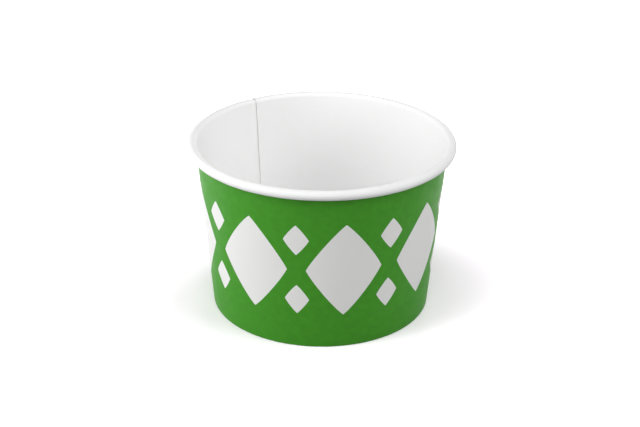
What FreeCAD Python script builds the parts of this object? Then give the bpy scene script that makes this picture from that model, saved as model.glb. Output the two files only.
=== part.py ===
"""Paper dessert cup: one printed side-wall blank and one stamped base disc, in millimetres.

The side wall is a single sheet of coated board. It is wrapped into a cone, lapped over itself along
one generator and glued there. Its upper edge is rolled outwards into a hollow rim, with the end of the
sheet tucked up inside the roll. Its lower edge is folded in and up round the skirt of the base disc,
which hangs a few millimetres above the table, and the fold is pressed flat to make the foot.

The origin is the centre of the foot on the table, and +Z runs up the axis of the cup.
"""

import FreeCAD, Part
import math
import os
import Sketcher

SIZES = {
    # Outer diameter over the rolled rim, which is the size a lid is sold by.
    "rim_diameter": 90.0,
    # Where the printed face of the wall meets the table.
    "foot_diameter": 74.4,
    "cup_height": 59.0,
    "roll_diameter": 3.2,
    "board_thickness": 0.38,
    "base_board_thickness": 0.34,
    # Food side of the base disc above the table.
    "floor_height": 6.0,
    "disc_corner_radius": 0.8,
    # From the top of the folded hem to the start of the disc's corner.
    "hem_gap": 0.25,
    "foot_corner_radius": 0.42,
    # Azimuth of the cut edge that shows inside the cup.
    "seam_azimuth": 124.3,
    # Overlap of the two edges of the blank, at mid height.
    "lap_width": 7.0,
    # Over this width the outer edge comes back in from lying on the inner one.
    "ramp_width": 2.0,
    # The first turn of the roll ends this far below the horizontal.
    "tuck_angle": 80.0,
    # The end of the sheet points this way inside the roll.
    "tip_angle": 120.0,
    # Between the tucked end and the wall.
    "tuck_gap": 0.12,
}

# How a sketch numbers the ends of an edge and its own axes.
START, END, CENTRE = 1, 2, 3
TABLE_LINE, CUP_AXIS = -1, -2
ORIGIN = (-1, 1)


def make_sheet(doc):
    """The driving dimensions, one named cell each."""
    sheet = doc.addObject("Spreadsheet::Sheet", "Sizes")
    for row, (name, value) in enumerate(SIZES.items(), start=1):
        sheet.set(f"A{row}", name)
        sheet.set(f"B{row}", str(value))
        sheet.setAlias(f"B{row}", name)
    doc.recompute()
    return sheet


class Outline:
    """A sketch in a half-plane through the cup's axis, whose edges go by name.

    Across the sketch is the radius and up the sketch is the height.
    """

    def __init__(self, body, name, azimuth=None):
        self.sketch = body.newObject("Sketcher::SketchObject", name)
        upright = [f for f in body.Origin.OriginFeatures if f.Role == "XZ_Plane"][0]
        self.sketch.AttachmentSupport = [(upright, "")]
        self.sketch.MapMode = "FlatFace"
        if azimuth:
            about_axis = FreeCAD.Rotation(FreeCAD.Vector(0, 1, 0), 1)
            self.sketch.AttachmentOffset = FreeCAD.Placement(FreeCAD.Vector(), about_axis)
            self.sketch.setExpression(".AttachmentOffset.Rotation.Angle", azimuth)
        self.edges = {}

    def line(self, name, start, end, guide=False):
        shape = Part.LineSegment(FreeCAD.Vector(*start), FreeCAD.Vector(*end))
        self.edges[name] = self.sketch.addGeometry(shape, guide)

    def circle(self, name, centre, radius):
        shape = Part.Circle(FreeCAD.Vector(*centre), FreeCAD.Vector(0, 0, 1), radius)
        self.edges[name] = self.sketch.addGeometry(shape, True)

    def arc(self, name, centre, radius, first, last):
        """Anticlockwise from the first angle to the last, in radians."""
        circle = Part.Circle(FreeCAD.Vector(*centre), FreeCAD.Vector(0, 0, 1), radius)
        self.edges[name] = self.sketch.addGeometry(Part.ArcOfCircle(circle, first, last), False)

    def point(self, name, place):
        self.edges[name] = self.sketch.addGeometry(Part.Point(FreeCAD.Vector(*place)), True)

    def spot(self, name, end):
        """An end or the centre of a named edge, as a constraint takes it."""
        return self.edges[name], end

    def fix(self, kind, *where):
        """A constraint with no size of its own."""
        self.sketch.addConstraint(Sketcher.Constraint(kind, *where))

    def fix_pair(self, kind, first, second):
        """The same, between two named edges."""
        self.fix(kind, self.edges[first], self.edges[second])

    def size(self, kind, where, start_value, formula):
        """A constraint whose size follows the sheet."""
        index = self.sketch.addConstraint(Sketcher.Constraint(kind, *where, start_value))
        self.sketch.setExpression(f"Constraints[{index}]", formula)

    def joined(self, first, first_end, second, second_end):
        """Two edges run smoothly into each other."""
        self.fix("Tangent", *self.spot(first, first_end), *self.spot(second, second_end))

    def met(self, first, first_end, second, second_end):
        """Two edges share a corner."""
        self.fix("Coincident", *self.spot(first, first_end), *self.spot(second, second_end))


class Cone:
    """Where the wall runs, worked out from the sheet so that each sketch starts near its solution.

    A layer is a face of the board: 0 is the food side, 1 the printed side, and 2 the printed side of
    a second sheet lying on the first.
    """

    def __init__(self, sheet):
        self.board = sheet.board_thickness
        self.roll = sheet.roll_diameter / 2
        self.foot = (sheet.foot_diameter / 2, 0.0)
        self.roll_centre = (sheet.rim_diameter / 2 - self.roll, sheet.cup_height - self.roll)
        out = self.roll_centre[0] - self.foot[0]
        rise = self.roll_centre[1]
        printed_roll = self.roll - self.board
        self.taper = math.atan2(out, rise) - math.asin(printed_roll / math.hypot(out, rise))
        self.up = (math.sin(self.taper), math.cos(self.taper))
        self.inward = (-self.up[1], self.up[0])

    def at_height(self, layer, height, extra_inward=0.0):
        """A point on a face of the wall, or on a line parallel to it."""
        depth = (1 - layer) * self.board + extra_inward
        along = (height - depth * self.inward[1]) / self.up[1]
        return self.moved(self.moved(self.foot, self.inward, depth), self.up, along)

    @staticmethod
    def moved(point, direction, distance):
        return point[0] + direction[0] * distance, point[1] + direction[1] * distance


def centre_the_roll(outline, edge):
    """Puts the centre of the roll where the rim's diameter and the cup's height want it."""
    across, up = outline.sketch.getPoint(*outline.spot(edge, CENTRE))[:2]
    place = (*ORIGIN, *outline.spot(edge, CENTRE))
    outline.size("DistanceX", place, across, "(Sizes.rim_diameter - Sizes.roll_diameter) / 2")
    outline.size("DistanceY", place, up, "Sizes.cup_height - Sizes.roll_diameter / 2")


def mark_the_foot(outline, cone, food_line, layer):
    """The point where the printed face of the wall meets the table, one board from the food face."""
    outline.point("foot_mark", cone.foot)
    mark = outline.spot("foot_mark", START)
    outline.fix("PointOnObject", *mark, TABLE_LINE)
    outline.size("DistanceX", (*ORIGIN, *mark), cone.foot[0], "Sizes.foot_diameter / 2")
    if layer == 0:
        outline.size("Distance", (*mark, outline.edges[food_line]), cone.board, "Sizes.board_thickness")
    else:
        outline.fix("PointOnObject", *mark, outline.edges[food_line])


class BoardSection:
    """The section of the rolled, folded board between two layers, as a closed sketch.

    Layers 0 to 1 are the plain wall, 0 to 2 the glued lap, and 1 to 2 the outer sheet of the lap alone.
    """

    def __init__(self, body, sheet, name, inner, outer, azimuth):
        self.inner, self.outer, self.sheets = inner, outer, outer - inner
        self.sheet = sheet
        self.cone = Cone(sheet)
        self.outline = Outline(body, name, azimuth)
        self.work_out_the_tuck()
        self.draw_the_roll()
        self.draw_the_foot()
        self.join_the_edges()
        self.size_the_roll()
        self.size_the_tuck()
        self.size_the_foot()
        self.sketch = self.outline.sketch

    def work_out_the_tuck(self):
        """The tucked turn has its own, smaller radius, and just misses the wall."""
        sheet, cone = self.sheet, self.cone
        self.tuck_angle = -math.radians(sheet.tuck_angle)
        self.tip_angle = math.radians(sheet.tip_angle) - 2 * math.pi
        towards_wall = math.cos(math.radians(sheet.tuck_angle) - cone.taper)
        room = cone.roll - self.outer * cone.board + towards_wall * cone.roll - sheet.tuck_gap
        self.tuck_radius = room / (1 + towards_wall)
        self.tuck_direction = (math.cos(self.tuck_angle), math.sin(self.tuck_angle))
        offset = cone.roll - self.tuck_radius
        self.tuck_centre = cone.moved(cone.roll_centre, self.tuck_direction, offset)

    def wall_top(self, layer):
        """Where a face of the wall runs into the roll."""
        cone = self.cone
        return cone.moved(cone.roll_centre, cone.inward, cone.roll - layer * cone.board)

    def tip(self, layer):
        """Where a face of the board ends inside the roll."""
        direction = (math.cos(self.tip_angle), math.sin(self.tip_angle))
        return self.cone.moved(self.tuck_centre, direction, self.tuck_radius - layer * self.cone.board)

    def draw_the_roll(self):
        outline, cone = self.outline, self.cone
        wall_angle = math.pi - cone.taper
        for side, layer in (("food", self.inner), ("printed", self.outer)):
            radius = cone.roll - layer * cone.board
            outline.arc(f"roll_{side}", cone.roll_centre, radius, self.tuck_angle, wall_angle)
            radius = self.tuck_radius - layer * cone.board
            outline.arc(f"tuck_{side}", self.tuck_centre, radius, self.tip_angle, self.tuck_angle)
        outline.line("tip_edge", self.tip(self.inner), self.tip(self.outer))

    def draw_the_foot(self):
        """The fold goes under the skirt of the base disc, and the hem comes back up beside it."""
        outline, cone, sheet = self.outline, self.cone, self.sheet
        corner = sheet.foot_corner_radius
        self.hem_depth = sheet.base_board_thickness + 2 * self.inner * cone.board
        self.hem_top = sheet.floor_height - sheet.disc_corner_radius - sheet.hem_gap
        self.fold_height = cone.board * (1 - self.inner / 2)
        stack = self.sheets * cone.board
        corner_out = cone.at_height(self.outer, corner, corner)
        corner_in = cone.at_height(self.inner, corner, self.hem_depth + stack - corner)
        fold_out = cone.at_height(self.inner, self.fold_height)
        fold_in = cone.at_height(self.inner, self.fold_height, self.hem_depth)
        hem_food = cone.at_height(self.inner, self.hem_top, self.hem_depth)
        hem_printed = cone.moved(hem_food, cone.inward, stack)
        outline.line("wall_food", fold_out, self.wall_top(self.inner))
        outline.line("fold_food", fold_in, fold_out)
        outline.line("hem_food", hem_food, fold_in)
        outline.line("hem_edge", hem_printed, hem_food)
        outline.line("hem_printed", cone.moved(corner_in, cone.inward, corner), hem_printed)
        outline.arc("corner_in", corner_in, corner, math.pi - cone.taper, 3 * math.pi / 2)
        outline.line("foot", (corner_out[0], 0), (corner_in[0], 0))
        outline.arc("corner_out", corner_out, corner, -math.pi / 2, -cone.taper)
        outline.line("wall_printed", self.wall_top(self.outer), cone.moved(corner_out, cone.inward, -corner))

    def join_the_edges(self):
        outline = self.outline
        outline.joined("wall_food", END, "roll_food", END)
        outline.joined("roll_food", START, "tuck_food", END)
        outline.met("tuck_food", START, "tip_edge", START)
        outline.met("tip_edge", END, "tuck_printed", START)
        outline.joined("tuck_printed", END, "roll_printed", START)
        outline.joined("roll_printed", END, "wall_printed", START)
        outline.joined("wall_printed", END, "corner_out", END)
        outline.joined("corner_out", START, "foot", START)
        outline.joined("foot", END, "corner_in", END)
        outline.joined("corner_in", START, "hem_printed", START)
        outline.met("hem_printed", END, "hem_edge", START)
        outline.met("hem_edge", END, "hem_food", START)
        outline.met("hem_food", END, "fold_food", START)
        outline.met("fold_food", END, "wall_food", START)
        outline.met("roll_printed", CENTRE, "roll_food", CENTRE)
        outline.met("tuck_printed", CENTRE, "tuck_food", CENTRE)
        outline.fix_pair("Parallel", "wall_food", "wall_printed")
        outline.fix_pair("Parallel", "wall_food", "hem_food")
        outline.fix_pair("Parallel", "hem_food", "hem_printed")
        outline.fix_pair("Perpendicular", "hem_food", "hem_edge")

    def size_the_roll(self):
        outline, cone = self.outline, self.cone
        centre_the_roll(outline, "roll_food")
        mark_the_foot(outline, cone, "wall_food", self.inner)
        for face, layer in (("roll_food", self.inner), ("roll_printed", self.outer)):
            formula = f"Sizes.roll_diameter / 2 - {layer} * Sizes.board_thickness"
            outline.size("Radius", (outline.edges[face],), cone.roll - layer * cone.board, formula)

    def size_the_tuck(self):
        """Guide lines from the two centres hold the angles, and a third holds the gap to the wall."""
        outline, cone, edges = self.outline, self.cone, self.outline.edges
        towards_tuck = cone.moved(cone.roll_centre, self.tuck_direction, 1)
        outline.line("turn_guide", cone.roll_centre, towards_tuck, True)
        outline.met("turn_guide", START, "roll_food", CENTRE)
        outline.met("turn_guide", END, "roll_food", START)
        outline.size("Angle", (edges["turn_guide"],), self.tuck_angle, "-Sizes.tuck_angle")
        outline.line("tip_guide", self.tuck_centre, self.tip(self.inner), True)
        outline.met("tip_guide", START, "tuck_food", CENTRE)
        outline.met("tip_guide", END, "tuck_food", START)
        outline.size("Angle", (edges["tip_guide"],), self.tip_angle + 2 * math.pi, "Sizes.tip_angle")
        outline.fix("PointOnObject", *outline.spot("tip_edge", END), edges["tip_guide"])
        reach = self.tuck_radius - self.inner * cone.board
        outline.line("gap_guide", self.tuck_centre, cone.moved(self.tuck_centre, cone.inward, reach), True)
        outline.met("gap_guide", START, "tuck_food", CENTRE)
        outline.fix("PointOnObject", *outline.spot("gap_guide", END), edges["tuck_food"])
        outline.fix_pair("Perpendicular", "gap_guide", "wall_printed")
        gap = self.sheet.tuck_gap + self.inner * cone.board
        formula = f"Sizes.tuck_gap + {self.inner} * Sizes.board_thickness"
        outline.size("Distance", (*outline.spot("gap_guide", END), edges["wall_printed"]), gap, formula)

    def size_the_foot(self):
        """The fold is pressed to one board's thickness all round, so the lap doesn't tip the cup."""
        outline, edges, sheets = self.outline, self.outline.edges, self.sheets
        outline.fix("PointOnObject", *outline.spot("foot", START), TABLE_LINE)
        outline.fix("Horizontal", edges["foot"])
        outline.fix("Horizontal", edges["fold_food"])
        formula = f"{1 - self.inner / 2} * Sizes.board_thickness"
        outline.size("DistanceY", (*ORIGIN, *outline.spot("fold_food", START)), self.fold_height, formula)
        formula = f"Sizes.base_board_thickness + {2 * self.inner} * Sizes.board_thickness"
        depth = (*outline.spot("hem_food", START), edges["wall_food"])
        outline.size("Distance", depth, self.hem_depth, formula)
        formula = f"{sheets} * Sizes.board_thickness"
        stack = (*outline.spot("hem_printed", END), edges["hem_food"])
        outline.size("Distance", stack, sheets * self.cone.board, formula)
        formula = "Sizes.floor_height - Sizes.disc_corner_radius - Sizes.hem_gap"
        outline.size("DistanceY", (*ORIGIN, *outline.spot("hem_food", START)), self.hem_top, formula)
        for face in ("corner_out", "corner_in"):
            outline.size("Radius", (edges[face],), self.sheet.foot_corner_radius, "Sizes.foot_corner_radius")


def degrees_on_wall(width):
    """A formula for the angle that a width on the wall takes up, at the cup's mean radius."""
    return f"Sizes.{width} / ((Sizes.rim_diameter + Sizes.foot_diameter) / 4) * 180 / pi"


def turn(body, name, sketch, formula):
    """Turns a section about the cup's axis through an angle, anticlockwise from above."""
    feature = body.newObject("PartDesign::Revolution", name)
    feature.Profile = sketch
    feature.ReferenceAxis = (sketch, ["V_Axis"])
    feature.Angle = 180
    if formula:
        feature.setExpression("Angle", formula)
    else:
        feature.Angle = 360
    return feature


def make_side_wall(doc, sheet):
    """The wrapped blank: a plain stretch, the doubled lap, and the ramp that joins them."""
    body = doc.addObject("PartDesign::Body", "side_wall")
    lap, ramp = degrees_on_wall("lap_width"), degrees_on_wall("ramp_width")
    seam = "Sizes.seam_azimuth"
    plain = BoardSection(body, sheet, "plain_section", 0, 1, f"{seam} + {ramp}")
    turn(body, "plain_wall", plain.sketch, f"360 - {ramp} - {lap}")
    doubled = BoardSection(body, sheet, "lap_section", 0, 2, f"{seam} - {lap}")
    turn(body, "glued_lap", doubled.sketch, lap)
    lifted = BoardSection(body, sheet, "lifted_section", 1, 2, seam)
    landed = BoardSection(body, sheet, "landed_section", 0, 1, f"{seam} + {ramp}")
    step = body.newObject("PartDesign::AdditiveLoft", "seam_ramp")
    step.Profile = lifted.sketch
    step.Sections = [landed.sketch]
    step.Ruled = True
    return body


def make_base_disc(doc, sheet):
    """A flat disc with its edge turned down into a skirt, which stands in the fold against the wall."""
    body = doc.addObject("PartDesign::Body", "base_disc")
    cone = Cone(sheet)
    thick, radius = sheet.base_board_thickness, sheet.disc_corner_radius
    floor = sheet.floor_height
    corner = cone.at_height(0, floor - radius, radius)
    inner_radius = radius - thick
    tip_out = cone.at_height(0, cone.board)
    tip_in = cone.at_height(0, cone.board, thick)

    outline = Outline(body, "disc_section")
    outline.line("top", (0, floor), (corner[0], floor))
    outline.arc("corner_out", corner, radius, -cone.taper, math.pi / 2)
    outline.line("skirt_out", cone.moved(corner, cone.inward, -radius), tip_out)
    outline.line("skirt_edge", tip_out, tip_in)
    outline.line("skirt_in", tip_in, cone.moved(corner, cone.inward, -inner_radius))
    outline.arc("corner_in", corner, inner_radius, -cone.taper, math.pi / 2)
    outline.line("underside", (corner[0], floor - thick), (0, floor - thick))
    outline.line("middle", (0, floor - thick), (0, floor))
    outline.circle("roll", cone.roll_centre, cone.roll)

    outline.joined("top", END, "corner_out", END)
    outline.joined("corner_out", START, "skirt_out", START)
    outline.met("skirt_out", END, "skirt_edge", START)
    outline.met("skirt_edge", END, "skirt_in", START)
    outline.joined("skirt_in", END, "corner_in", START)
    outline.joined("corner_in", END, "underside", START)
    outline.met("underside", END, "middle", START)
    outline.met("middle", END, "top", START)
    outline.met("corner_in", CENTRE, "corner_out", CENTRE)

    edges = outline.edges
    outline.fix("Horizontal", edges["top"])
    outline.fix("Horizontal", edges["underside"])
    outline.fix("Vertical", edges["middle"])
    outline.fix("PointOnObject", *outline.spot("middle", START), CUP_AXIS)
    outline.fix_pair("Parallel", "skirt_out", "skirt_in")
    outline.fix("Horizontal", edges["skirt_edge"])
    centre_the_roll(outline, "roll")
    outline.size("Radius", (edges["roll"],), cone.roll, "Sizes.roll_diameter / 2")
    outline.fix_pair("Tangent", "skirt_out", "roll")
    mark_the_foot(outline, cone, "skirt_out", 0)
    outline.size("Radius", (edges["corner_out"],), radius, "Sizes.disc_corner_radius")
    formula = "Sizes.disc_corner_radius - Sizes.base_board_thickness"
    outline.size("Radius", (edges["corner_in"],), inner_radius, formula)
    outline.size("DistanceY", (*ORIGIN, *outline.spot("top", START)), floor, "Sizes.floor_height")
    outline.size("DistanceY", (*ORIGIN, *outline.spot("skirt_out", END)), cone.board, "Sizes.board_thickness")
    turn(body, "stamped_disc", outline.sketch, None)
    return body


def check(doc, bodies):
    """Stops the build if any feature failed or any piece is not one sound solid."""
    failed = [o.Label for o in doc.Objects if {"Invalid", "Error"} & set(o.State)]
    sketches = [o for o in doc.Objects if o.isDerivedFrom("Sketcher::SketchObject")]
    loose = [o.Label for o in sketches if not o.FullyConstrained]
    if failed or loose:
        raise RuntimeError(f"failed: {failed}, not fully constrained: {loose}")
    for body in bodies:
        shape = body.Shape
        if shape.isNull() or not shape.isValid() or len(shape.Solids) != 1:
            raise RuntimeError(f"{body.Label} is not one sound solid")


def main():
    doc = FreeCAD.newDocument("paper_dessert_cup")
    sheet = make_sheet(doc)
    bodies = [make_side_wall(doc, sheet), make_base_disc(doc, sheet)]
    doc.recompute()
    check(doc, bodies)
    os.makedirs("parts", exist_ok=True)
    for body in bodies:
        body.Shape.exportStep(f"parts/{body.Label}.step")
        box = body.Shape.BoundBox
        print(f"{body.Label}: {body.Shape.Volume:.0f} cubic mm, {box.ZMin:.2f} to {box.ZMax:.2f} mm high")


main()
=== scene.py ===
"""Paper dessert cup: the wrapped side wall, the stamped base disc, their finishes, the studio."""

import math

import bpy
from mathutils import Matrix, Vector, noise


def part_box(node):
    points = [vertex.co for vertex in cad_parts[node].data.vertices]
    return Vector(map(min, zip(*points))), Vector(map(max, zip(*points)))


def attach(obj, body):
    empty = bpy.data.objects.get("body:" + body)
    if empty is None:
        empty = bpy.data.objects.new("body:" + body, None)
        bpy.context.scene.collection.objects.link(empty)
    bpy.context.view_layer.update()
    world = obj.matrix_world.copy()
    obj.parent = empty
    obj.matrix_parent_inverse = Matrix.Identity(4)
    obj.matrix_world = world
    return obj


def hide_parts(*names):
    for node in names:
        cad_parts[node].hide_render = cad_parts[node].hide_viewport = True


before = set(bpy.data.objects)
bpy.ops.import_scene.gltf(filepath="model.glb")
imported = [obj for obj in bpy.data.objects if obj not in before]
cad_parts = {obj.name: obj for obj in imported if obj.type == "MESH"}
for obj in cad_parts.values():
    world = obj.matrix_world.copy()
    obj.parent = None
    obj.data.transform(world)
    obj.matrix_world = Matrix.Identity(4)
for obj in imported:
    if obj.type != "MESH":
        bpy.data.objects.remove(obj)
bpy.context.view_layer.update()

MM = 0.001
TURN = 2 * math.pi

# Sizes that the frame's boxes give, in metres. The disc's skirt stands on one layer of board.
RIM_RADIUS, _, CUP_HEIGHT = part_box("side_wall")[1]
DISC_LOW, DISC_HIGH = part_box("base_disc")
FLOOR_HEIGHT = DISC_HIGH[2]
BOARD = DISC_LOW[2]

# Sizes that are hidden in those boxes, as the solids have them.
BASE_BOARD = 0.34 * MM
FOOT_RADIUS = 37.2 * MM
FOOT_CORNER = 0.42 * MM
ROLL_RADIUS = 1.6 * MM
DISC_CORNER = 0.8 * MM
HEM_GAP = 0.25 * MM
TUCK_GAP = 0.12 * MM
TUCK_ANGLE = math.radians(80)
TIP_ANGLE = math.radians(120)
SEAM_AZIMUTH = math.radians(124.3)
MEAN_RADIUS = (RIM_RADIUS + FOOT_RADIUS) / 2
LAP_ANGLE = 7 * MM / MEAN_RADIUS
RAMP_ANGLE = 2 * MM / MEAN_RADIUS

# Small forms that only the scene has.
GLUE_LINE = 0.012 * MM
OVAL_DEPTH, OVAL_PHASE = 0.10 * MM, 0.8
WAVE_DEPTH, WAVE_HEIGHT, WAVES = 0.06 * MM, 40 * MM, 1.6
UNEVEN_GROWTH = 1.5
RING_RADIUS, RING_WIDTH, RING_DEPTH = 33.5 * MM, 0.8 * MM, 0.06 * MM

# How finely the base disc is meshed. A small face closes it in the middle.
DISC_COLUMNS, DISC_RINGS = 240, 24
DISC_MIDDLE = 0.02 * MM


def on_circle(centre, radius, angle):
    return (centre[0] + radius * math.cos(angle), centre[1] + radius * math.sin(angle))


def line(start, end, count):
    """Points from start up to, but not including, end."""
    steps = [i / count for i in range(count)]
    return [tuple(a + (b - a) * t for a, b in zip(start, end)) for t in steps]


def arc(centre, radius, first, last, count):
    """Points from the first angle up to, but not including, the last."""
    angles = [first + (last - first) * i / count for i in range(count)]
    return [on_circle(centre, radius, angle) for angle in angles]


def turned(point, azimuth):
    """A point of a section, (radius, height), at an azimuth."""
    radius, height = point
    return (radius * math.cos(azimuth), radius * math.sin(azimuth), height)


class Section:
    """The board's section at one azimuth, closed, and with as many points at every azimuth.

    layer is how many boards lie inside this one, and stack how many boards there are in all. Both
    change smoothly where the sheet climbs over its own edge.
    """

    def __init__(self, layer, stack):
        self.layer = layer
        self.stack = stack
        self.roll_centre = (RIM_RADIUS - ROLL_RADIUS, CUP_HEIGHT - ROLL_RADIUS)
        out, rise = self.roll_centre[0] - FOOT_RADIUS, self.roll_centre[1]
        lean = math.asin((ROLL_RADIUS - BOARD) / math.hypot(out, rise))
        self.taper = math.atan2(out, rise) - lean
        self.up = (math.sin(self.taper), math.cos(self.taper))
        self.inward = (-self.up[1], self.up[0])

    def at_height(self, layer, height, extra_inward=0.0):
        """A point on a face of the wall, or on a line parallel to it."""
        depth = (1 - layer) * BOARD + extra_inward
        along = (height - depth * self.inward[1]) / self.up[1]
        across = FOOT_RADIUS + self.inward[0] * depth + self.up[0] * along
        return (across, height)

    def stretches(self):
        """The section as (zone, points), from the hem's tip up the food side and down the print."""
        food, printed = self.layer, self.layer + 1
        wall_angle = math.pi - self.taper
        tip_angle = TIP_ANGLE - TURN

        # The roll, and its end, which tucks in on a tighter circle and stops short of the wall.
        towards_wall = math.cos(TUCK_ANGLE - self.taper)
        room = ROLL_RADIUS * (1 + towards_wall) - self.stack * BOARD - TUCK_GAP
        tuck_radius = room / (1 + towards_wall)
        roll = self.roll_centre
        tuck = on_circle(roll, ROLL_RADIUS - tuck_radius, -TUCK_ANGLE)
        food_roll = ROLL_RADIUS - food * BOARD
        printed_roll = ROLL_RADIUS - printed * BOARD
        food_tuck = tuck_radius - food * BOARD
        printed_tuck = tuck_radius - printed * BOARD
        wall_food_top = on_circle(roll, food_roll, wall_angle)
        wall_printed_top = on_circle(roll, printed_roll, wall_angle)
        tip_food = on_circle(tuck, food_tuck, tip_angle)
        tip_printed = on_circle(tuck, printed_tuck, tip_angle)

        # The fold of the foot, which holds the disc's skirt, and the hem inside it.
        hem_depth = BASE_BOARD + 2 * self.layer * BOARD
        hem_top = FLOOR_HEIGHT - DISC_CORNER - HEM_GAP
        fold_food = BOARD * (1 - self.layer / 2)
        fold_printed = BOARD * (self.stack - self.layer - 1) / 2
        corner = FOOT_CORNER - fold_printed
        corner_height = fold_printed + corner
        hem_food_top = self.at_height(food, hem_top, hem_depth)
        hem_food_foot = self.at_height(food, fold_food, hem_depth)
        wall_food_foot = self.at_height(food, fold_food)
        out_centre = self.at_height(printed, corner_height, corner)
        in_centre = self.at_height(food, corner_height, hem_depth + BOARD - corner)
        foot_out, foot_in = (out_centre[0], fold_printed), (in_centre[0], fold_printed)
        wall_printed_foot = on_circle(out_centre, corner, -self.taper)
        hem_printed_foot = on_circle(in_centre, corner, wall_angle)
        hem_printed_top = tuple(a + BOARD * b for a, b in zip(hem_food_top, self.inward))

        return [
            ("food", line(hem_food_top, hem_food_foot, 2)),
            ("food", line(hem_food_foot, wall_food_foot, 1)),
            ("food", line(wall_food_foot, wall_food_top, 26)),
            ("food", arc(roll, food_roll, wall_angle, -TUCK_ANGLE, 32)),
            ("food", arc(tuck, food_tuck, -TUCK_ANGLE, tip_angle, 9)),
            ("edge", line(tip_food, tip_printed, 1)),
            ("print", arc(tuck, printed_tuck, tip_angle, -TUCK_ANGLE, 6)),
            ("print", arc(roll, printed_roll, -TUCK_ANGLE, wall_angle, 12)),
            ("print", line(wall_printed_top, wall_printed_foot, 26)),
            ("print", arc(out_centre, corner, -self.taper, -math.pi / 2, 5)),
            ("hem", line(foot_out, foot_in, 1)),
            ("hem", arc(in_centre, corner, -math.pi / 2, wall_angle - TURN, 5)),
            ("hem", line(hem_printed_foot, hem_printed_top, 6)),
            ("edge", line(hem_printed_top, hem_food_top, 1)),
        ]


def layers_at(angle):
    """(layer, stack) of the sheet, this far round from its outer cut edge.

    The sheet starts as the outer board of the lap, comes down to the inside over a short ramp, goes
    round, and ends as the inner board of the lap.
    """
    if angle <= LAP_ANGLE:
        return 1.0, 2.0
    if angle <= LAP_ANGLE + RAMP_ANGLE:
        lift = 1 - (angle - LAP_ANGLE) / RAMP_ANGLE
        return lift, 1 + lift
    if angle <= TURN - RAMP_ANGLE:
        return 0.0, 1.0
    return 0.0, 1 + min(1.0, (angle - TURN + RAMP_ANGLE) / RAMP_ANGLE)


def sheet_angles():
    """Where the columns of the side wall stand, close together where the sheet changes level."""
    ramp_end, climb_start = LAP_ANGLE + RAMP_ANGLE, TURN - RAMP_ANGLE
    lap = [LAP_ANGLE * i / 9 for i in range(9)]
    ramp = [LAP_ANGLE + RAMP_ANGLE * i / 8 for i in range(8)]
    whole = [ramp_end + math.radians(i) for i in range(360)]
    whole = [angle for angle in whole if angle < climb_start - math.radians(0.3)]
    climb = [climb_start + RAMP_ANGLE * i / 6 for i in range(6)]
    end = [TURN + LAP_ANGLE * i / 9 for i in range(10)]
    return lap + ramp + whole + climb + end


def unevenness(azimuth, height):
    """How far hand-sized unevenness of the board draws the wall in, never past its true radius."""
    growth = max(0.0, height / CUP_HEIGHT) ** UNEVEN_GROWTH
    oval = OVAL_DEPTH * (0.5 + 0.5 * math.cos(2 * azimuth + OVAL_PHASE))
    round_about = Vector((math.cos(azimuth), math.sin(azimuth), height / WAVE_HEIGHT))
    wave = WAVE_DEPTH * (0.5 + 0.5 * noise.noise(round_about * WAVES))
    return (oval + wave) * growth


def pressed(radius):
    """Height of the food side of the disc: level, with a ring pressed in near its edge."""
    return FLOOR_HEIGHT - RING_DEPTH * math.exp(-(((radius - RING_RADIUS) / RING_WIDTH) ** 2))


def mesh_object(name, vertices, faces, zones, materials, sharp_degrees):
    """A smooth-shaded object whose faces take the material of their zone."""
    mesh = bpy.data.meshes.new(name)
    mesh.from_pydata(vertices, [], faces)
    slots = list(materials)
    for slot in slots:
        mesh.materials.append(materials[slot])
    mesh.polygons.foreach_set("material_index", [slots.index(zone) for zone in zones])
    mesh.shade_smooth()
    mesh.set_sharp_from_angle(angle=math.radians(sharp_degrees))
    mesh.update()
    obj = bpy.data.objects.new(name, mesh)
    bpy.context.scene.collection.objects.link(obj)
    return obj


def build_side_wall(materials):
    """One sheet of board with true thickness, wrapped once round and lapped over its own edge."""
    angles = sheet_angles()
    start = SEAM_AZIMUTH - LAP_ANGLE
    vertices, faces, zones = [], [], []
    for angle in angles:
        layer, stack = layers_at(angle)
        lift = layer * GLUE_LINE / BOARD
        stretches = Section(layer + lift, stack + lift).stretches()
        azimuth = start + angle
        for _, points in stretches:
            for radius, height in points:
                vertices.append(turned((radius - unevenness(azimuth, height), height), azimuth))
    ring = [zone for zone, points in stretches for _ in points]
    count = len(ring)
    for column in range(len(angles) - 1):
        here, there = column * count, (column + 1) * count
        for i, zone in enumerate(ring):
            following = (i + 1) % count
            faces.append((here + i, there + i, there + following, here + following))
            zones.append(zone)
    add_cut_edges(faces, zones, count, len(angles))
    return mesh_object("side_wall_sheet", vertices, faces, zones, materials, sharp_degrees=32)


def add_cut_edges(faces, zones, count, columns):
    """Closes the two ends of the sheet, each with one face across the whole section."""
    last = (columns - 1) * count
    faces.append(tuple(range(count)))
    faces.append(tuple(reversed(range(last, last + count))))
    zones.extend(["edge", "edge"])


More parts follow.
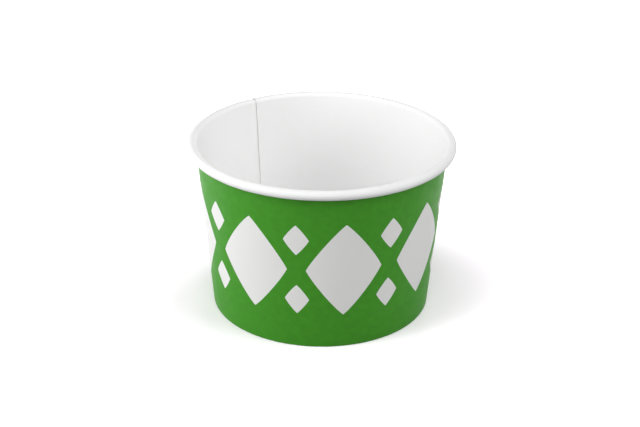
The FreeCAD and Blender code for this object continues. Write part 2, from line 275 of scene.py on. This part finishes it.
def build_base_disc(materials):
    """A stamped disc: a flat floor with a faint pressed ring, and the skirt in the fold."""
    plain = Section(layer=0.0, stack=1.0)
    centre = plain.at_height(0, FLOOR_HEIGHT - DISC_CORNER, DISC_CORNER)
    tip_out = plain.at_height(0, BOARD)
    tip_in = plain.at_height(0, BOARD, BASE_BOARD)
    inner_corner = DISC_CORNER - BASE_BOARD
    skirt_top = on_circle(centre, DISC_CORNER, -plain.taper)
    inner_top = on_circle(centre, inner_corner, -plain.taper)
    radii = [centre[0] * i / DISC_RINGS for i in range(DISC_RINGS)]
    top = [(radius, pressed(radius)) for radius in radii]
    under = [(radius, height - BASE_BOARD) for radius, height in reversed(top)]
    stretches = [
        ("food", top),
        ("food", arc(centre, DISC_CORNER, math.pi / 2, -plain.taper, 10)),
        ("food", line(skirt_top, tip_out, 4)),
        ("edge", line(tip_out, tip_in, 1)),
        ("bare", line(tip_in, inner_top, 4)),
        ("bare", arc(centre, inner_corner, -plain.taper, math.pi / 2, 8)),
        ("bare", under),
    ]
    ring = [zone for zone, points in stretches for _ in points]
    profile = [point for _, points in stretches for point in points]
    profile = [(max(radius, DISC_MIDDLE), height) for radius, height in profile]
    azimuths = [TURN * column / DISC_COLUMNS for column in range(DISC_COLUMNS)]
    vertices = [turned(point, azimuth) for azimuth in azimuths for point in profile]
    faces, zones = [], []
    count = len(profile)
    for column in range(DISC_COLUMNS):
        here, there = column * count, (column + 1) % DISC_COLUMNS * count
        for i in range(count - 1):
            faces.append((here + i, here + i + 1, there + i + 1, there + i))
            zones.append(ring[i])
    firsts = range(0, DISC_COLUMNS * count, count)
    faces.append(tuple(firsts))
    faces.append(tuple(first + count - 1 for first in reversed(firsts)))
    zones.extend(["food", "bare"])
    return mesh_object("base_disc_board", vertices, faces, zones, materials, sharp_degrees=40)


class Finish:
    """A material's node tree, with short names for the nodes that are used again and again."""

    def __init__(self, name):
        self.material = bpy.data.materials.new(name)
        self.material.use_nodes = True
        self.tree = self.material.node_tree
        self.shader = self.tree.nodes["Principled BSDF"]
        self.place = self.node("ShaderNodeTexCoord").outputs["Object"]

    def node(self, kind, **settings):
        """A new node of this kind, with its settings."""
        made = self.tree.nodes.new(kind)
        for name, value in settings.items():
            setattr(made, name, value)
        return made

    def feed(self, socket, value):
        """Links an output to a socket, or sets the socket to a number or a colour."""
        if isinstance(value, bpy.types.NodeSocket):
            self.tree.links.new(value, socket)
        else:
            socket.default_value = value

    def math(self, operation, *values):
        """The result of a Math node."""
        made = self.node("ShaderNodeMath", operation=operation)
        for socket, value in zip(made.inputs, values):
            self.feed(socket, value)
        return made.outputs[0]

    def step(self, value, low, high, start=0.0, end=1.0):
        """A soft step: start below low, end above high."""
        made = self.node("ShaderNodeMapRange", interpolation_type="SMOOTHSTEP")
        sockets = ("Value", "From Min", "From Max", "To Min", "To Max")
        for name, number in zip(sockets, (value, low, high, start, end)):
            self.feed(made.inputs[name], number)
        return made.outputs[0]

    def mix(self, share, first, second):
        """A colour between two."""
        made = self.node("ShaderNodeMix", data_type="RGBA")
        self.feed(made.inputs["Factor"], share)
        self.feed(made.inputs["A"], first)
        self.feed(made.inputs["B"], second)
        return made.outputs["Result"]

    def grain(self, size, detail, stretch=(1, 1, 1)):
        """Noise with features of about this size, in metres."""
        moved = self.node("ShaderNodeMapping")
        self.feed(moved.inputs["Vector"], self.place)
        self.feed(moved.inputs["Scale"], stretch)
        made = self.node("ShaderNodeTexNoise")
        self.feed(made.inputs["Vector"], moved.outputs[0])
        self.feed(made.inputs["Scale"], 1 / size)
        self.feed(made.inputs["Detail"], detail)
        return made.outputs[0]

    def patches(self, size, detail, low, high):
        """A value that wanders from low to high, in soft patches of about this size."""
        return self.step(self.grain(size, detail), 0.3, 0.7, low, high)

    def bump(self, height, depth, beneath=None):
        """Adds relief of this depth, in metres, on top of other relief."""
        made = self.node("ShaderNodeBump")
        self.feed(made.inputs["Distance"], depth)
        self.feed(made.inputs["Strength"], 1.0)
        self.feed(made.inputs["Height"], height)
        if beneath is not None:
            self.feed(made.inputs["Normal"], beneath)
        return made.outputs[0]

    def set(self, **values):
        """Sets the shader's sockets, which go by their own names with underscores for spaces."""
        for name, value in values.items():
            self.feed(self.shader.inputs[name.replace("_", " ")], value)

    def position(self):
        """(azimuth in turns, height) of the shaded point."""
        split = self.node("ShaderNodeSeparateXYZ")
        self.feed(split.inputs[0], self.place)
        angle = self.math("ARCTAN2", split.outputs["Y"], split.outputs["X"])
        return self.math("DIVIDE", angle, TURN), split.outputs["Z"]


GREEN = (0.0470, 0.240, 0.0165, 1)
PRINT_WHITE = (0.725, 0.725, 0.715, 1)
FOOD_WHITE = (0.875, 0.875, 0.875, 1)
# The roll's white is a darker copy of the food side's white: painted shade on the rim.
ROLL_PAINTED_SHADE_WHITE = (0.80, 0.80, 0.80, 1)
RAW_EDGE = (0.70, 0.69, 0.66, 1)
# The cut edge is darker again on the rim's roll: painted shade.
ROLL_EDGE_PAINTED_SHADE = (0.46, 0.45, 0.43, 1)
BARE_WHITE = (0.74, 0.73, 0.71, 1)
BARE_SHADE = (0.703, 0.6935, 0.6745, 1)
INK_SHINE = 0.10
FILM_SHINE = 0.02
COATING_IOR = 1.5

# The print: a band of lozenges round the wall. Their sides bulge a little, and their edges are soft
# over this share of half the band's height.
BAND_LOW, BAND_HIGH = 12.6 * MM, 46.0 * MM
LOZENGES = 8
LOZENGE_BULGE = 1.12
LOZENGE_BLUR = 0.0045

# The hem: the ink ends unevenly above the fold, and the press leaves upright ridges.
BLEED_LOW, BLEED_HIGH, BLEED_WANDER = 1.5 * MM, 1.62 * MM, 0.5 * MM
KNURL_LOW, KNURL_HIGH, KNURL_DEPTH = 0.9 * MM, 1.3 * MM, 0.05 * MM
KNURL_RIDGES = 190


def board_relief(finish, depth=1.0):
    """The soft unevenness of coated board: wide mottling, then fine fibres."""
    wide = finish.bump(finish.grain(3.5 * MM, 3), 0.010 * MM * depth)
    return finish.bump(finish.grain(0.45 * MM, 3, (1, 1, 0.6)), 0.0022 * MM * depth, wide)


def lozenge_band(finish):
    """1 inside the printed lozenges and 0 between them: large ones, with small ones in the gaps."""
    turns, height = finish.position()
    middle, half = (BAND_LOW + BAND_HIGH) / 2, (BAND_HIGH - BAND_LOW) / 2
    up = finish.math("DIVIDE", finish.math("SUBTRACT", height, middle), half)
    from_middle = finish.math("ABSOLUTE", up)
    along = finish.math("MULTIPLY", turns, LOZENGES)

    def share(distance, size):
        """How far out a point lies on a lozenge of this size, bulged."""
        away = finish.math("ABSOLUTE", distance)
        return finish.math("POWER", finish.math("DIVIDE", away, size), LOZENGE_BULGE)

    def lozenges(shift, rise, width, tall):
        """A row of them, and its mirror image below.

        shift and width are shares of the length that one lozenge has to itself round the wall, and
        rise and tall are shares of half the band's height.
        """
        place = finish.math("FRACT", finish.math("ADD", along, shift))
        across = finish.math("SUBTRACT", place, 0.5)
        level = finish.math("SUBTRACT", from_middle, rise)
        outside = finish.math("ADD", share(across, width), share(level, tall))
        return finish.step(outside, 1.0, 1 + LOZENGE_BLUR / tall, 1.0, 0.0)

    large = lozenges(shift=0.25, rise=0.0, width=0.40, tall=1.0)
    small = lozenges(shift=0.75, rise=0.66, width=0.13, tall=0.32)
    return finish.math("MAXIMUM", large, small)


def printed_board():
    """Green ink with white lozenges on coated board, both with a dull satin finish."""
    finish = Finish("printed_board")
    green = finish.node("ShaderNodeHueSaturation")
    finish.feed(green.inputs["Color"], GREEN)
    finish.feed(green.inputs["Value"], finish.patches(2.2 * MM, 4, 0.94, 1.05))
    color = finish.mix(lozenge_band(finish), green.outputs[0], PRINT_WHITE)
    roughness = finish.patches(5 * MM, 3, 0.46, 0.54)
    finish.set(Base_Color=color, Roughness=roughness, Normal=board_relief(finish))
    finish.set(IOR=COATING_IOR, Specular_IOR_Level=INK_SHINE)
    return finish.material


def rolled(finish):
    """0 on the wall and 1 on the rim's roll, by how far out the point lies; it places the roll's
    painted shade.
    """
    level = finish.node("ShaderNodeVectorMath", operation="MULTIPLY")
    finish.feed(level.inputs[0], finish.place)
    finish.feed(level.inputs[1], (1, 1, 0))
    out = finish.node("ShaderNodeVectorMath", operation="LENGTH")
    finish.feed(out.inputs[0], level.outputs[0])
    wall_ends, roll_starts = RIM_RADIUS - 1.9 * ROLL_RADIUS, RIM_RADIUS - 1.2 * ROLL_RADIUS
    return finish.step(out.outputs["Value"], wall_ends, roll_starts)


def food_board():
    """White board under the film that holds the food, darker on the rim's roll as painted shade."""
    finish = Finish("food_board")
    # The roll gets the darker white: painted shade.
    white = finish.mix(rolled(finish), FOOD_WHITE, ROLL_PAINTED_SHADE_WHITE)
    mottle = finish.math("MULTIPLY", finish.grain(4 * MM, 3), 0.1)
    color = finish.mix(mottle, white, BARE_WHITE)
    roughness = finish.patches(6 * MM, 3, 0.58, 0.66)
    finish.set(Base_Color=color, Roughness=roughness, Normal=board_relief(finish))
    finish.set(IOR=COATING_IOR, Specular_IOR_Level=FILM_SHINE)
    return finish.material


def cut_edge():
    """The raw cut of the board, which shows its fibres, with painted shade that turns it grey on
    the rim.
    """
    finish = Finish("cut_edge")
    fibres = finish.grain(0.12 * MM, 4, (1, 1, 0.5))
    # On the rim's roll the edge takes the darker colour: painted shade.
    color = finish.mix(rolled(finish), finish.mix(fibres, RAW_EDGE, BARE_WHITE), ROLL_EDGE_PAINTED_SHADE)
    finish.set(Base_Color=color, Roughness=0.85, Normal=finish.bump(fibres, 0.02 * MM))
    return finish.material


def hem_board():
    """The pressed hem: ink bleeds round the foot, then comes bare board with the press's knurl."""
    finish = Finish("hem_board")
    turns, height = finish.position()
    wander = finish.math("MULTIPLY", finish.grain(1.5 * MM, 2), BLEED_WANDER)
    bleed = finish.step(finish.math("ADD", height, wander), BLEED_LOW, BLEED_HIGH, 1.0, 0.0)
    color = finish.mix(bleed, BARE_WHITE, GREEN)
    wave = finish.math("SINE", finish.math("MULTIPLY", turns, KNURL_RIDGES * TURN))
    ridges = finish.math("MULTIPLY", wave, finish.step(height, KNURL_LOW, KNURL_HIGH))
    knurl = finish.bump(ridges, KNURL_DEPTH, board_relief(finish))
    finish.set(Base_Color=color, Roughness=0.6, Normal=knurl)
    return finish.material


def bare_board():
    """The uncoated underside of the disc."""
    finish = Finish("bare_board")
    color = finish.mix(finish.grain(0.3 * MM, 5, (1, 0.35, 1)), BARE_WHITE, BARE_SHADE)
    finish.set(Base_Color=color, Roughness=0.8, Normal=board_relief(finish, 1.6))
    return finish.material


def dress_the_cup():
    """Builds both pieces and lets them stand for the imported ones."""
    food, edge = food_board(), cut_edge()
    printed, hem, bare = printed_board(), hem_board(), bare_board()
    wall = build_side_wall({"food": food, "print": printed, "hem": hem, "edge": edge})
    disc = build_base_disc({"food": food, "bare": bare, "edge": edge})
    for piece, node, slot in (
        (wall, "side_wall", "printed_board"),
        (disc, "base_disc", "plain_board"),
    ):
        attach(piece, "root")
        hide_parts(node)


# The camera, as fitted to the rim, the wall's outlines and the foot in the reference picture.
CAMERA_PLACE = Vector((0.0, -432.37, 236.48)) * MM
CAMERA_FORWARD = Vector((-0.00089, 0.90301, -0.42961))
CAMERA_UP = Vector((-0.01067, 0.42958, 0.90297))
LENS_MM, SENSOR_MM = 78.66, 36.0


def place_camera():
    camera = bpy.data.cameras.new("camera")
    camera.lens = LENS_MM
    camera.sensor_width = SENSOR_MM
    camera.clip_start = 0.01
    obj = bpy.data.objects.new("camera", camera)
    back = -CAMERA_FORWARD.normalized()
    right = CAMERA_UP.cross(back).normalized()
    up = back.cross(right)
    facing = Matrix((right, up, back)).transposed().to_4x4()
    obj.matrix_world = Matrix.Translation(CAMERA_PLACE) @ facing
    bpy.context.scene.collection.objects.link(obj)
    bpy.context.scene.camera = obj


# Soft boxes, which all face the cup: name, degrees to the right of the camera and degrees up as
# seen from the cup, metres away, width in metres, and power in watts.
SOFT_BOXES = (
    ("left_near", -76, 8, 0.40, 0.24, 0.97),
    ("left_front", -66, 34, 1.3, 0.60, 6.2),
    ("right_low", 64, 20, 1.3, 0.60, 2.6),
    ("right_front", 60, 35, 1.3, 0.60, 4.0),
    ("right_high", 85, 55, 1.3, 0.70, 2.0),
    ("front", 0, 42, 1.3, 0.60, 3.8),
    ("top", 0, 80, 1.3, 0.80, 1.3),
    ("back", 172, 6, 1.3, 0.25, 5.0),
)


def light_the_studio():
    aim = Vector((0, 0, CUP_HEIGHT / 2))
    for name, right, up, distance, width, power in SOFT_BOXES:
        right, up = math.radians(right), math.radians(up)
        across, forward = math.sin(right) * math.cos(up), math.cos(right) * math.cos(up)
        towards = Vector((across, -forward, math.sin(up)))
        light = bpy.data.lights.new(name, "AREA")
        light.size = width
        light.energy = power
        obj = bpy.data.objects.new(name, light)
        obj.location = aim + towards * distance
        obj.rotation_euler = towards.to_track_quat("Z", "Y").to_euler()
        bpy.context.scene.collection.objects.link(obj)


WHITE = (1, 1, 1, 1)
ROOM_LIGHT = 0.255

# The floor throws FLOOR_BOUNCE back on the cup. What is seen of it is FLOOR_SEEN with a glow added,
# which turns it white. The glow is weak in an ellipse round the foot, so that the shadow stays
# there: the ellipse points from the left front to the right back, as the photographed shadow does.
FLOOR_HALF = 4.0
FLOOR_BOUNCE = (0.35, 0.35, 0.35, 1)
# The trace of magenta in FLOOR_SEEN is painted to take out the green light that the wall throws on
# the floor.
FLOOR_SEEN = (1.0, 0.955, 1.0, 1)
GLOW_NEAR, GLOW_FAR = 0.07, 0.80
GLOW_CENTRE = (0, -3 * MM, 0)
GLOW_TURN = math.radians(20)
GLOW_REACH = (106 * MM, 68 * MM, 1)
GLOW_START = 0.42


def white_where_seen(tree, lit, seen):
    """Lets camera, mirror and glass rays see one shader and all other rays another."""
    path = tree.nodes.new("ShaderNodeLightPath")
    looking = path.outputs["Is Camera Ray"]
    for kind in ("Is Glossy Ray", "Is Transmission Ray"):
        either = tree.nodes.new("ShaderNodeMath")
        either.operation = "MAXIMUM"
        tree.links.new(looking, either.inputs[0])
        tree.links.new(path.outputs[kind], either.inputs[1])
        looking = either.outputs[0]
    switch = tree.nodes.new("ShaderNodeMixShader")
    tree.links.new(looking, switch.inputs["Fac"])
    tree.links.new(lit, switch.inputs[1])
    tree.links.new(seen, switch.inputs[2])
    return switch.outputs[0]


def white_room():
    """An even, dim room that looks white."""
    world = bpy.data.worlds.new("room")
    bpy.context.scene.world = world
    world.use_nodes = True
    tree = world.node_tree
    dim = tree.nodes["Background"]
    dim.inputs["Strength"].default_value = ROOM_LIGHT
    dim.inputs["Color"].default_value = WHITE
    white = tree.nodes.new("ShaderNodeBackground")
    white.inputs["Color"].default_value = WHITE
    switch = white_where_seen(tree, dim.outputs[0], white.outputs[0])
    tree.links.new(switch, tree.nodes["World Output"].inputs["Surface"])


def glow_strength(tree):
    """How brightly the floor glows: little under the cup's shadow, more farther out."""
    place = tree.nodes.new("ShaderNodeTexCoord")
    ellipse = tree.nodes.new("ShaderNodeMapping")
    ellipse.vector_type = "TEXTURE"
    tree.links.new(place.outputs["Object"], ellipse.inputs["Vector"])
    ellipse.inputs["Location"].default_value = GLOW_CENTRE
    ellipse.inputs["Rotation"].default_value = (0, 0, GLOW_TURN)
    ellipse.inputs["Scale"].default_value = GLOW_REACH
    away = tree.nodes.new("ShaderNodeVectorMath")
    away.operation = "LENGTH"
    tree.links.new(ellipse.outputs[0], away.inputs[0])
    glow = tree.nodes.new("ShaderNodeMapRange")
    glow.interpolation_type = "SMOOTHSTEP"
    tree.links.new(away.outputs["Value"], glow.inputs["Value"])
    glow.inputs["From Min"].default_value = GLOW_START
    glow.inputs["From Max"].default_value = 1.0
    glow.inputs["To Min"].default_value = GLOW_NEAR
    glow.inputs["To Max"].default_value = GLOW_FAR
    return glow.outputs["Result"]


def floor_material():
    """Matt and grey to the cup, and white to the camera where no shadow falls on it."""
    material = bpy.data.materials.new("floor_white")
    material.use_nodes = True
    tree = material.node_tree
    tree.nodes.remove(tree.nodes["Principled BSDF"])
    bounce = tree.nodes.new("ShaderNodeBsdfDiffuse")
    bounce.inputs["Color"].default_value = FLOOR_BOUNCE
    matt = tree.nodes.new("ShaderNodeBsdfDiffuse")
    matt.inputs["Color"].default_value = FLOOR_SEEN
    glow = tree.nodes.new("ShaderNodeEmission")
    tree.links.new(glow_strength(tree), glow.inputs["Strength"])
    lifted = tree.nodes.new("ShaderNodeAddShader")
    tree.links.new(matt.outputs[0], lifted.inputs[0])
    tree.links.new(glow.outputs[0], lifted.inputs[1])
    switch = white_where_seen(tree, bounce.outputs[0], lifted.outputs[0])
    tree.links.new(switch, tree.nodes["Material Output"].inputs["Surface"])
    return material


def white_floor():
    mesh = bpy.data.meshes.new("floor")
    signs = ((-1, -1), (1, -1), (1, 1), (-1, 1))
    mesh.from_pydata([(x * FLOOR_HALF, y * FLOOR_HALF, 0) for x, y in signs], [], [(0, 1, 2, 3)])
    mesh.materials.append(floor_material())
    floor = bpy.data.objects.new("floor", mesh)
    bpy.context.scene.collection.objects.link(floor)


dress_the_cup()
place_camera()
light_the_studio()
white_room()
white_floor()
bpy.context.scene.view_settings.view_transform = "Standard"
